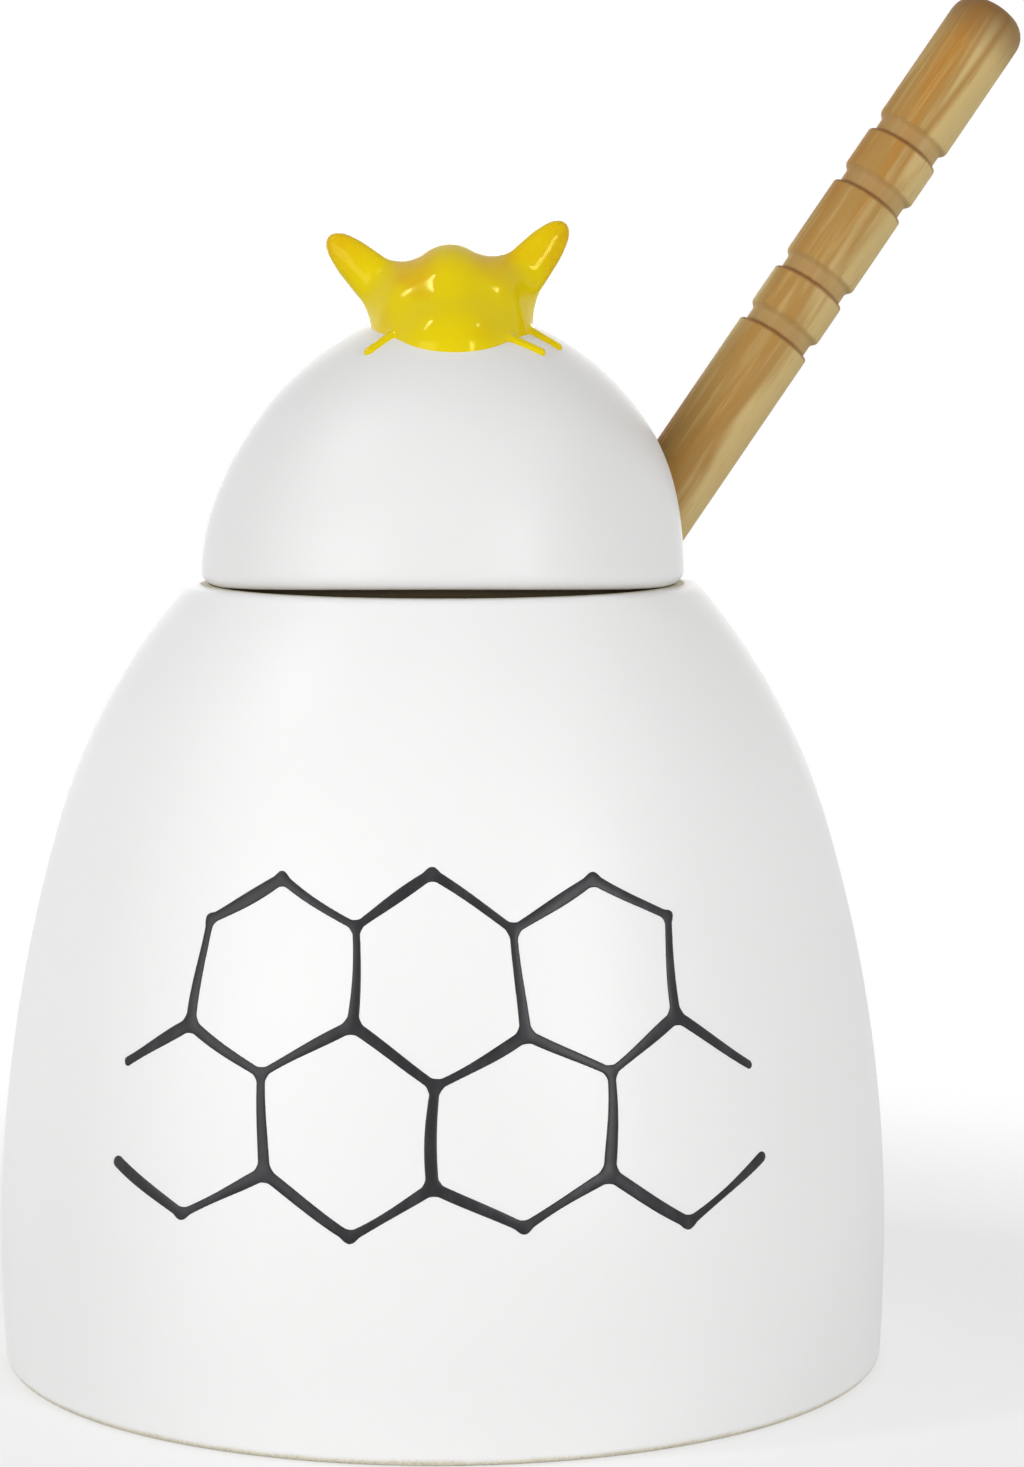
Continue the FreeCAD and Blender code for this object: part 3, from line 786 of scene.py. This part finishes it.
class LidForm:
    """The dome's field, and the surface that the bee is seated on."""

    def __init__(self, settings, pot):
        self.settings = settings
        self.rim = pot.height
        self.radius = (LID_HIGH.x - LID_LOW.x) / 2
        self.side = self.radius + settings.overreach
        self.span = self.side - settings.crown_radius
        self.crown_rise = math.sqrt(self.span**2 - settings.overreach**2)
        self.top = self.rim + settings.edge_height + self.crown_rise + settings.crown_radius
        self.flange = pot.mouth - settings.flange_gap
        self.bore = self.flange - settings.flange_wall

    def lean(self, rise):
        """How far the dome leans to the right at a height above the rim."""
        settings = self.settings
        t = np.clip((rise - settings.lean_start) / settings.lean_rise, 0, 1)
        return settings.lean * t * t * (3 - 2 * t)

    def dome(self, points):
        """Distance outside the dome: a side arc whose centre lies past the axis, and a rounder crown."""
        settings = self.settings
        rise = points[:, 2] - self.rim
        reach = np.hypot(points[:, 0] - self.lean(rise), points[:, 1])
        across = reach + settings.overreach
        up = rise - settings.edge_height
        side = np.hypot(across, up) - self.side
        crown = np.hypot(reach, up - self.crown_rise) - settings.crown_radius
        return np.where(settings.overreach * up > self.crown_rise * across, crown, side)

    def seat_on(self, across, back):
        """The height of the dome at a place seen from above."""
        height = self.top
        rounds, step_share = 40, 0.7
        for _ in range(rounds):
            height -= step_share * float(self.dome(np.array([[across, back, height]]))[0])
        return height

    def field(self, points, dipper):
        settings = self.settings
        rise = points[:, 2] - self.rim
        reach = np.hypot(points[:, 0], points[:, 1])
        outside = self.dome(points)
        warp = settings.warp_height * np.maximum(1 - (2 * points[:, 0] / settings.warp_span) ** 2, 0)
        shell = rounded_both(outside, warp - rise, settings.edge_round)
        slight = settings.flange_wall / 4
        tube = np.maximum(rise - settings.seat_height, -settings.flange_depth - rise)
        tube = rounded_both(reach - self.flange, tube, slight)
        hollow = np.maximum(outside + settings.wall, settings.seat_height - rise)
        bore = np.maximum(reach - self.bore, rise - settings.seat_height - settings.wall)
        solid = rounded_both(np.minimum(shell, tube), -np.minimum(hollow, bore), slight)
        notch = dipper.notch(points, settings.notch_room)
        return rounded_both(solid, -notch, settings.notch_round)


class DipperForm:
    """The dipper's axis and lengths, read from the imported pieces."""

    def __init__(self, settings):
        self.settings = settings
        handle = self.measure("dipper_handle")
        head = self.measure("dipper_head")
        self.radius = handle["radius"]
        self.head_radius = head["radius"]
        self.tip = head["low"]
        self.length = handle["high"] - self.tip
        self.head_length = head["high"] - self.tip
        self.place = Matrix.Translation(handle["centre"] + DIPPER_AXIS * self.tip) @ self.turn.to_4x4()

    @property
    def turn(self):
        """The dipper's own axes: Z along it, X square to it, outwards and down, Y to the side."""
        side = Vector((0, 0, 1)).cross(DIPPER_AXIS).normalized()
        return Matrix((side.cross(DIPPER_AXIS), side, DIPPER_AXIS)).transposed()

    def measure(self, node):
        """A round node's radius, ends and axis, from its points in the dipper's own axes."""
        points = np.array([vertex.co for vertex in frame["nodes"][node].data.vertices])
        own = points @ np.array(self.turn)
        low, high = own.min(axis=0), own.max(axis=0)
        middle = (low + high) / 2
        centre = self.turn @ Vector((middle[0], middle[1], 0))
        return {"radius": (high[1] - low[1]) / 2, "low": low[2], "high": high[2], "centre": centre}

    def grooves(self):
        """The lower and upper edge of each groove, along the dipper."""
        settings = self.settings
        for band in (settings.upper_band, settings.lower_band):
            for step in (0, settings.band_pitch):
                high = self.length - band - step
                yield high - settings.groove_width, high

    def handle_profile(self):
        settings = self.settings
        shaft_end = self.length - settings.end_dome
        dome = (self.radius**2 + settings.end_dome**2) / (2 * settings.end_dome)
        floor = self.radius - settings.groove_depth
        tenon = settings.tenon_radius
        start = self.head_length - settings.tenon_length
        line = [(0, start), (tenon, start), (tenon, self.head_length), (self.radius, self.head_length)]
        corners = []
        for low, high in sorted(self.grooves()):
            slope = high - settings.groove_slope
            groove = [(self.radius, low), (floor, low), (floor, slope), (self.radius, high)]
            line += groove
            corners += [(corner, settings.edge_round) for corner in groove]
        line += [(self.radius, shaft_end), *arc((self.radius, shaft_end), (0, self.length), dome, count=12)]
        corners.append(((self.radius, shaft_end), settings.end_round))
        return soften(line, corners)

    def head_profile(self):
        settings = self.settings
        neck = self.radius + settings.neck_step
        inward = self.head_radius - neck
        upward = self.head_length - self.head_radius
        bulge = (inward**2 + upward**2) / (2 * inward)
        belly = (self.head_radius, self.head_radius)
        outline = [Vector((0, 0)), *arc((0, 0), belly, self.head_radius, count=32)]
        outline += arc(belly, (neck, self.head_length), bulge, count=32)
        table = np.array([tuple(point) for point in outline])
        core = settings.core_radius
        line = []
        corners = []
        past = 0.0
        for number in range(settings.slots):
            low = settings.slot_start + number * settings.slot_pitch
            high = low + settings.slot_width
            edges = [float(np.interp(height, table[:, 1], table[:, 0])) for height in (low, high)]
            line += [point for point in outline if past <= point.y < low]
            slot = [(edges[0], low), (core, low), (core, high), (edges[1], high)]
            line += slot
            corners += [(corner, settings.edge_round) for corner in slot]
            past = high
        line += [point for point in outline if point.y > past]
        line.append((0, self.head_length))
        corners.append(((neck, self.head_length), settings.edge_round))
        return soften(line, corners)

    def notch(self, points, room):
        """Field of the slot that the handle passes: round at the top and open outwards and down."""
        own = (points - np.array(self.place.translation)) @ np.array(self.turn)
        out = np.minimum(own[:, 0], 0)
        return np.hypot(out, own[:, 1]) - self.radius - room


# The bee's swellings in its axes, in millimetres: the middle of each, and half its width, length and height.
BEE_SWELLINGS = (
    ((0, -2.4, 1.8), (8.35, 9.85, 10.35)),
    ((0, -3.6, 6.25), (3.05, 5.8, 4.9)),
    ((0, -5.85, -1.1), (8.8, 8.0, 5.15)),
    ((0, -10.85, -0.3), (5.6, 5.05, 4.85)),
    ((-5.8, -4.9, 2.85), (3.2, 4.35, 5.55)),
    ((5.8, -4.9, 2.85), (3.2, 4.35, 5.55)),
    ((0, 8.0, 2.0), (7.25, 9.5, 7.5)),
)
# The right wing's root in the bee's axes, in millimetres.
WING_ROOT = (4.2, -3.6, 3.2)
# Where each leg begins under the body and where it ends on the dome, seen from above, in millimetres.
LEGS = (
    ((-4.6, -9.8), (-8.9, -12.8)),
    ((7.4, -11.4), (12.4, -11.8)),
    ((10.2, -6.8), (14.5, -7.7)),
    ((-5.2, 4.2), (-11.4, 8.8)),
    ((-4.8, 11.6), (-6.3, 15.7)),
    ((7.2, 9.2), (10.4, 13.3)),
)


class BeeForm:
    """The bee's field: seven swellings, two wings and six legs, let into the dome."""

    def __init__(self, settings, lid):
        self.settings = settings
        self.lid = lid
        self.middle = Vector((settings.offset, 0, lid.top - settings.sink))
        self.turn = Matrix.Rotation(-settings.roll, 3, "Y")
        self.legs = [[self.on_dome(*end) for end in leg] for leg in LEGS]

    def on_dome(self, across, back):
        """The point of the dome at a place seen from above that is given in millimetres."""
        return across * MM, back * MM, self.lid.seat_on(across * MM, back * MM)

    def wing(self, points, side):
        """A wing's field: a long petal, drawn in a little halfway along."""
        settings = self.settings
        root = Vector((side * WING_ROOT[0], WING_ROOT[1], WING_ROOT[2])) * MM
        lean = Matrix.Rotation(side * settings.wing_sweep, 3, "Z")
        lean = lean @ Matrix.Rotation(side * (math.pi / 2 - settings.wing_rise), 3, "Y")
        own = (points - np.array(root)) @ np.array(lean)
        along = np.clip(own[:, 2] / settings.wing_length, 0, 1)
        width = 1 - settings.wing_waist_share * 4 * along * (1 - along)
        own[:, :2] /= width[:, None]
        half = settings.wing_width / 2
        return egg(own, (0, 0, 0), (half, half * settings.wing_flat_share, settings.wing_length)) * width

    def field(self, points):
        settings = self.settings
        own = (points - np.array(self.middle)) @ np.array(self.turn)
        swellings = (egg(own, middle, radii) for middle, radii in np.array(BEE_SWELLINGS) * MM)
        body = blended(swellings, settings.body_blend)
        body = blended([body, self.wing(own, -1), self.wing(own, 1)], settings.wing_blend)
        leg_end = settings.leg_radius * settings.leg_end_share
        legs = (tapered(points, start, end, settings.leg_radius, leg_end) for start, end in self.legs)
        body = blended([body, *legs], settings.leg_blend)
        return np.maximum(body, -self.lid.dome(points) - settings.seat_depth)


# Waves of the brush in radians per millimetre across and up: it sways sideways, sways upwards and swells.
BRUSH_WAVES = ((0.09, 0.21), (0.17, -0.12), (0.31, 0.23))


class CombForm:
    """Brush strokes of a honeycomb on the flat, in two staggered rows of cells."""

    def __init__(self, settings):
        self.settings = settings
        self.strokes = sorted(self.edges())

    def edges(self):
        """Each side of each cell once, with the comb's outermost upright sides left open."""
        settings = self.settings
        side = settings.cell_side
        width = math.sqrt(3) * side
        row_rise = 0.75 * side
        edges = set()
        for row, cells in ((-1, settings.lower_cells), (1, settings.lower_cells - 1)):
            middle = settings.middle_height + row * row_rise
            for cell in range(cells):
                across = (cell - (cells - 1) / 2) * width
                corners = []
                for number in range(6):
                    turn = math.radians(60 * number + 30)
                    corner = (across + side * math.cos(turn), middle + side * math.sin(turn))
                    corners.append(tuple(round(part, 6) for part in corner))
                edges.update(tuple(sorted(pair)) for pair in zip(corners, corners[1:] + corners[:1]))
        reach = settings.lower_cells * width / 2
        return [(start, end) for start, end in edges if start[0] != end[0] or abs(start[0]) < reach]

    def field(self, points):
        """Field of the strokes, which sway and swell a little."""
        settings = self.settings
        waves = np.sin(points[:, :2] / MM @ np.transpose(BRUSH_WAVES))
        flat = points.copy()
        flat[:, :2] += waves[:, :2] * settings.stray
        swell = 1 + settings.width_share * waves[:, 2]
        half = settings.line_width / 2
        rods = (tapered(flat, (*start, 0), (*end, 0), 0, 0) - swell * half for start, end in self.strokes)
        return blended(rods, half)


def bare_pot(pot):
    """Where the pot's clay is bare: under the foot, and on the rim where the lid lies; and where painted
    shade darkens the mouth's edge, under the gap below the lid.
    """
    foot_band = (1.1 * MM, 0.4 * MM)
    rim_band = (pot.height - 0.5 * MM, pot.height - 0.15 * MM)
    seat_band = (pot.rim - 1.4 * MM, pot.rim - 1.9 * MM)
    # Painted shade at the mouth's edge, under the gap below the lid.
    gap_shade_band = (pot.mouth + 1.4 * MM, pot.mouth + 0.4 * MM)

    def bare_of(finish, waver):
        height = finish.along("Z") + waver
        reach = finish.reach() + waver
        rim = height.step(*rim_band)
        bare = height.step(*foot_band) + rim * reach.step(*seat_band)
        return bare, rim * reach.step(*gap_shade_band)

    return bare_of


def bare_lid(lid):
    """Where the lid's clay is bare: on its seat and all round its flange; and where painted shade darkens
    the flange and the inside of the dome, which the gap under the dome looks into.
    """
    low_band = (lid.rim + 3.4 * MM, lid.rim + 2.8 * MM)
    seat_band = (lid.radius - 0.9 * MM, lid.radius - 1.4 * MM)
    # Painted shade on the flange and inside the dome, down to just below the rim.
    gap_shade_band = (lid.flange + 1.6 * MM, lid.flange + 0.6 * MM)
    gap_shade_base = (lid.rim - 1.2 * MM, lid.rim - 0.4 * MM)

    def bare_of(finish, waver):
        height = finish.along("Z")
        reach = finish.reach() + waver
        bare = height.step(*low_band) * reach.step(*seat_band)
        return bare, height.step(*gap_shade_base) * reach.step(*gap_shade_band)

    return bare_of


class HONEYPOT_OT_pot(bpy.types.Operator):
    """Turn the bell, hollow, with its rim and foot"""

    bl_idname = "honeypot.pot"
    bl_label = "Pot"

    def execute(self, context):
        settings = context.scene.honey_pot
        pot = PotForm(settings)
        mesh = lathe("glazed_pot", pot.profile(), settings.segments, pot.stray)
        glaze = white_glaze("white_pot_glaze", settings, settings.glaze, bare_pot(pot))
        new_piece("glazed_pot", mesh, glaze, "pot", ["pot_body"])
        return {"FINISHED"}


class HONEYPOT_OT_comb(bpy.types.Operator):
    """Brush the honeycomb lines on the front of the pot"""

    bl_idname = "honeypot.comb"
    bl_label = "Comb lines"

    def execute(self, context):
        settings = context.scene.honey_lines
        pot = PotForm(context.scene.honey_pot)
        comb = CombForm(settings)
        reach = (settings.lower_cells + 1) * settings.cell_side
        rise = 2 * settings.cell_side
        low = (-reach, settings.middle_height - rise, -settings.line_width)
        high = (reach, settings.middle_height + rise, settings.line_width)
        flatness = settings.line_rise / (settings.line_width / 2)
        mesh = skin("comb_lines", comb.field, low, high, settings.cell, lambda p: pot.wrap(p, flatness))
        new_piece("comb_lines", mesh, line_glaze(settings), "pot", [])
        return {"FINISHED"}


class HONEYPOT_OT_lid(bpy.types.Operator):
    """Shape the dome with its flange, its warped seat and the notch for the dipper"""

    bl_idname = "honeypot.lid"
    bl_label = "Lid"

    def execute(self, context):
        settings = context.scene.honey_lid
        lid = LidForm(settings, PotForm(context.scene.honey_pot))
        dipper = DipperForm(context.scene.honey_dipper)
        margin = Vector((3, 3, 3)) * settings.cell
        mesh = skin(
            "glazed_lid", lambda p: lid.field(p, dipper), LID_LOW - margin, LID_HIGH + margin, settings.cell
        )
        # The lid's white is the darker copy of the pot's glaze, with painted shade for the dome.
        glaze = white_glaze("white_lid_glaze", context.scene.honey_pot, settings.glaze, bare_lid(lid))
        new_piece("glazed_lid", mesh, glaze, "lid", ["lid"])
        return {"FINISHED"}


class HONEYPOT_OT_bee(bpy.types.Operator):
    """Model the bee on the lid as one glazed piece"""

    bl_idname = "honeypot.bee"
    bl_label = "Bee"

    def execute(self, context):
        settings = context.scene.honey_bee
        lid = LidForm(context.scene.honey_lid, PotForm(context.scene.honey_pot))
        bee = BeeForm(settings, lid)
        nodes = ["bee_body", "bee_wing_left", "bee_wing_right", "bee_legs"]
        boxes = [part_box(node) for node in nodes]
        margin = 3 * MM
        low = [min(box[0][axis] for box in boxes) - margin for axis in range(3)]
        high = [max(box[1][axis] for box in boxes) + margin for axis in range(3)]
        mesh = skin("glazed_bee", bee.field, low, high, settings.cell)
        glaze = yellow_glaze(settings, high[2] - margin)
        new_piece("glazed_bee", mesh, glaze, "lid", nodes)
        return {"FINISHED"}


class HONEYPOT_OT_dipper(bpy.types.Operator):
    """Turn the dipper's handle and its slotted head"""

    bl_idname = "honeypot.dipper"
    bl_label = "Dipper"

    def execute(self, context):
        settings = context.scene.honey_dipper
        dipper = DipperForm(settings)
        wood = turned_wood(settings, list(dipper.grooves()), dipper.length)
        for name, node, profile in (
            ("turned_handle", "dipper_handle", dipper.handle_profile()),
            ("turned_head", "dipper_head", dipper.head_profile()),
        ):
            mesh = lathe(name, profile, settings.segments)
            new_piece(name, mesh, wood, "dipper", [node], dipper.place)
        return {"FINISHED"}


def studio_floor(settings):
    """Pale floor that keeps the shadow near the pot and fades to the white of the background."""
    finish = new_finish("studio_floor")
    far = finish.reach().step(settings.shadow_start, settings.shadow_end)
    fade = finish.seen() * (settings.floor_white_share + far * (1 - settings.floor_white_share))
    lit_tone, seen_tone = (0.64, 0.64, 0.64), (0.95, 0.95, 0.95)
    tone = finish.mix(lit_tone, seen_tone, finish.seen())
    paper = finish.add("BsdfDiffuse", {"Color": tone})
    white = finish.add("Emission", {"Color": (1, 1, 1, 1), "Strength": 1.0})
    mixed = finish.add("MixShader", {0: fade, 1: paper, 2: white})
    finish.add("OutputMaterial", {"Surface": mixed})
    return finish.owner


def studio_world(settings):
    """Even light from all sides, white where the camera or a reflection sees it."""
    world = bpy.data.worlds.new("studio_world")
    finish = Finish(world)
    way = finish.add("TexCoord", output="Generated")
    high = finish.add("SeparateXYZ", {"Vector": way}, "Z").step(low=0.15, high=0.95)
    ambient = settings.ambient * (1 - high * settings.overhead_drop)
    strength = ambient + finish.seen() * (1 - ambient)
    light = finish.add("Background", {"Color": (1, 1, 1, 1), "Strength": strength})
    finish.add("OutputWorld", {"Surface": light})
    return world


def softbox(name, place, target, sides, power):
    """An area lamp of a given width and height that faces a point."""
    lamp = bpy.data.lights.new(name, "AREA")
    lamp.shape = "RECTANGLE"
    lamp.size, lamp.size_y = sides
    lamp.energy = power
    box = new_object(name, lamp)
    box.location = place
    box.rotation_euler = (Vector(target) - Vector(place)).to_track_quat("-Z", "Y").to_euler()


# Each lamp's place, and its width and height.
LAMPS = {
    "key": ((-0.8, -0.7, 0.15), (0.7, 0.7)),
    "fill": ((0.62, -0.83, 0.2), (0.16, 0.6)),
    "window": ((-0.55, -0.2, 0.78), (0.06, 0.25)),
    "skylight": ((0.5, -0.2, 0.75), (0.04, 0.08)),
    "back": ((0.0, 1.0, 0.2), (0.8, 0.8)),
}
LAMP_TARGET = (0, 0, 0.08)
# Width of the camera's film in millimetres.
FILM_WIDTH = 36


class HONEYPOT_OT_stage(bpy.types.Operator):
    """Set up the camera, the floor and the lights"""

    bl_idname = "honeypot.stage"
    bl_label = "Stage"

    def execute(self, context):
        scene = context.scene
        settings = scene.honey_stage
        camera = new_object("camera", bpy.data.cameras.new("camera"))
        camera.data.lens = settings.lens
        camera.data.sensor_width = FILM_WIDTH
        camera.location = settings.camera_place
        camera.rotation_euler = (math.pi / 2 - settings.camera_pitch, 0, 0)
        scene.camera = camera

        floor = new_object("floor", lathe("floor", [(settings.floor_radius, 0), (0, 0)], segments=96))
        floor.data.materials.append(studio_floor(settings))
        floor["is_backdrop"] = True

        for name, (place, sides) in LAMPS.items():
            softbox(name, place, LAMP_TARGET, sides, getattr(settings, name))
        scene.world = studio_world(settings)
        scene.view_settings.view_transform = "Standard"
        return {"FINISHED"}


STEPS = (
    HONEYPOT_OT_stage,
    HONEYPOT_OT_pot,
    HONEYPOT_OT_comb,
    HONEYPOT_OT_lid,
    HONEYPOT_OT_bee,
    HONEYPOT_OT_dipper,
)


class HONEYPOT_PT_panel(bpy.types.Panel):
    """Lists the steps that build the pot"""

    bl_idname = "HONEYPOT_PT_panel"
    bl_label = "Honey Pot"
    bl_space_type = "VIEW_3D"
    bl_region_type = "UI"
    bl_category = "Honey Pot"

    def draw(self, context):
        for step in STEPS:
            self.layout.operator(step.bl_idname)


GROUPS = {
    "honey_pot": PotSettings,
    "honey_lines": LineSettings,
    "honey_lid": LidSettings,
    "honey_bee": BeeSettings,
    "honey_dipper": DipperSettings,
    "honey_stage": StageSettings,
}
CLASSES = (*GROUPS.values(), *STEPS, HONEYPOT_PT_panel)


def register():
    for entry in CLASSES:
        bpy.utils.register_class(entry)
    for name, group in GROUPS.items():
        setattr(bpy.types.Scene, name, PointerProperty(type=group))


def unregister():
    for name in GROUPS:
        delattr(bpy.types.Scene, name)
    for entry in reversed(CLASSES):
        bpy.utils.unregister_class(entry)


def main():
    register()
    for step in ("stage", "pot", "comb", "lid", "bee", "dipper"):
        getattr(bpy.ops.honeypot, step)()
    boxes = {"cad": CAD_BOX, "visual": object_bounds()}
    {name: [list(corner) for corner in box] for name, box in boxes.items()}


if __name__ == "__main__":
    main()
